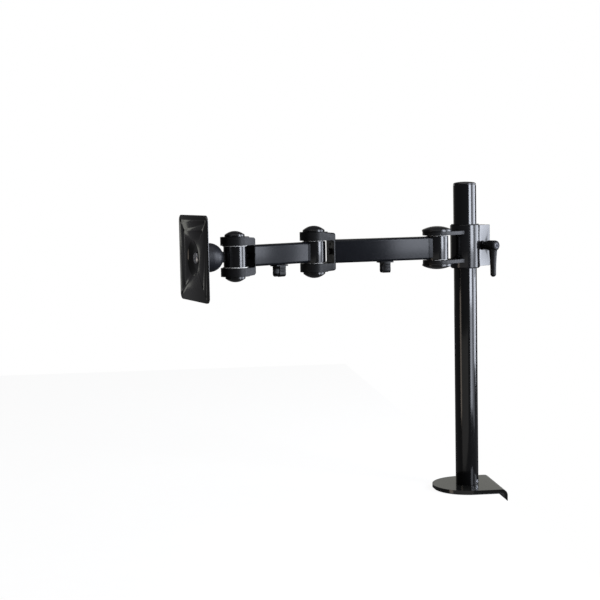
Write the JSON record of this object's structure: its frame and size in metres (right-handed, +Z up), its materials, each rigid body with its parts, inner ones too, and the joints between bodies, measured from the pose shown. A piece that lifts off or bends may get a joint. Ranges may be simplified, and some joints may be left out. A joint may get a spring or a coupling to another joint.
{
  "type": "monitor arm",
  "caption": "Desk-clamp monitor arm: a round post carries a height-adjustable collar and jointed swivel arms, ending in a tilting screen plate.",
  "frame": {"origin": "on the post's axis, at the desk's surface, which is the underside of the base plate's pad", "axes": "+Z up the post, +X to the desk's edge that the base plate hooks over, +Y along that edge; the arms reach to -X"},
  "size_m": [0.4978, 0.2783, 0.601],
  "materials": {
    "black_steel": "smooth satin black powder coat",
    "black_casting": "satin black paint on a casting",
    "black_plastic": "fine matt grain",
    "zinc_steel": "bright zinc plate",
    "white_nylon": "natural white nylon",
    "black_rubber": "matt foam rubber"
  },
  "bodies": {
    "stand": {"desk_pad": "black_rubber", "base_plate": "black_steel", "post": "black_steel", "post_foot": "zinc_steel", "post_bolt": "zinc_steel", "post_set_screw": "zinc_steel", "post_cap": "black_plastic", "clamp_jaw": "black_steel", "jaw_bolt_near": "zinc_steel", "jaw_bolt_far": "zinc_steel"},
    "pressure_foot": {"pressure_plate": "black_steel", "pressure_pad": "black_rubber"},
    "clamp_spindle": {"clamp_screw": "zinc_steel", "clamp_knob": "black_plastic"},
    "sleeve": {"collar_sleeve": "black_plastic"},
    "collar_unit": {"collar": "black_casting", "lever_nut": "zinc_steel", "shoulder_pivot": "zinc_steel", "shoulder_nut": "zinc_steel", "shoulder_cap_upper": "black_plastic", "shoulder_cap_lower": "black_plastic", "shoulder_washer_upper": "white_nylon", "shoulder_washer_lower": "white_nylon"},
    "lever_spindle": {"lever_stud": "black_steel", "lever_screw": "zinc_steel", "lever_spring": "zinc_steel"},
    "lever_grip": {"lever_handle": "black_plastic"},
    "inner_arm": {"inner_arm_hub": "black_casting", "inner_arm_tube": "black_steel", "inner_arm_insert": "black_casting", "inner_arm_cable_clip": "black_plastic", "elbow_fork": "black_casting", "elbow_fork_screw": "zinc_steel", "elbow_fork_pin": "zinc_steel", "elbow_pivot": "zinc_steel", "elbow_nut": "zinc_steel", "elbow_cap_upper": "black_plastic", "elbow_cap_lower": "black_plastic", "elbow_washer_upper": "white_nylon", "elbow_washer_lower": "white_nylon"},
    "outer_arm": {"outer_arm_hub": "black_casting", "outer_arm_tube": "black_steel", "outer_arm_insert": "black_casting", "outer_arm_cable_clip": "black_plastic", "wrist_fork": "black_casting", "wrist_fork_screw": "zinc_steel", "wrist_fork_pin": "zinc_steel", "wrist_pivot": "zinc_steel", "wrist_nut": "zinc_steel", "wrist_cap_upper": "black_plastic", "wrist_cap_lower": "black_plastic", "wrist_washer_upper": "white_nylon", "wrist_washer_lower": "white_nylon"},
    "swivel_head": {"head_hub": "black_casting"},
    "tilt_head": {"tilt_yoke": "black_casting", "tilt_pin": "zinc_steel", "tilt_dome": "black_plastic", "screen_washer": "white_nylon", "screen_bolt": "zinc_steel"},
    "screen_mount": {"screen_plate": "black_steel"}
  },
  "joints": [
    {"name": "arm_height", "type": "slide", "parent": "stand", "child": "sleeve", "axis": [0, 0, 1], "range_m": [-0.25, 0.055]},
    {"name": "collar_swivel", "type": "hinge", "parent": "sleeve", "child": "collar_unit", "pos_m": [0, 0, 0.375], "axis": [0, 0, 1], "continuous": true},
    {"name": "shoulder", "type": "hinge", "parent": "collar_unit", "child": "inner_arm", "pos_m": [-0.05083, -0.03188, 0.375], "axis": [0, 0, 1], "range_deg": [-69.3, 110.7]},
    {"name": "elbow", "type": "hinge", "parent": "inner_arm", "child": "outer_arm", "pos_m": [-0.24198, -0.07043, 0.375], "axis": [0, 0, 1], "range_deg": [-142.2, 97.8]},
    {"name": "wrist", "type": "hinge", "parent": "outer_arm", "child": "swivel_head", "pos_m": [-0.36275, -0.15067, 0.375], "axis": [0, 0, 1], "range_deg": [-72.8, 107.2]},
    {"name": "tilt", "type": "hinge", "parent": "swivel_head", "child": "tilt_head", "pos_m": [-0.39949, -0.16148, 0.375], "axis": [0.2823, -0.9593, 0], "range_deg": [-15, 15]},
    {"name": "screen_turn", "type": "hinge", "parent": "tilt_head", "child": "screen_mount", "pos_m": [-0.39949, -0.16148, 0.375], "axis": [-0.9593, -0.2823, 0], "range_deg": [-90, 90]},
    {"name": "lever_turn", "type": "hinge", "parent": "collar_unit", "child": "lever_spindle", "pos_m": [0.02626, 0.01647, 0.375], "axis": [0.5314, -0.8471, 0], "range_deg": [0, 180]},
    {"name": "lever_lift", "type": "slide", "parent": "lever_spindle", "child": "lever_grip", "axis": [0.5314, -0.8471, 0], "range_m": [0, 0.003], "stiffness_N_per_m": 500, "springref_m": -0.004},
    {"name": "clamp_travel", "type": "slide", "parent": "stand", "child": "pressure_foot", "axis": [0, 0, 1], "range_m": [-0.036, 0.018]},
    {"name": "clamp_screw_turn", "type": "hinge", "parent": "pressure_foot", "child": "clamp_spindle", "pos_m": [0, 0, -0.06], "axis": [0, 0, 1], "range_deg": [-8645, 4325]}
  ],
  "couplings": [
    {"joint": "clamp_screw_turn", "follows": "clamp_travel", "rad_per_m": 4188.8}
  ]
}
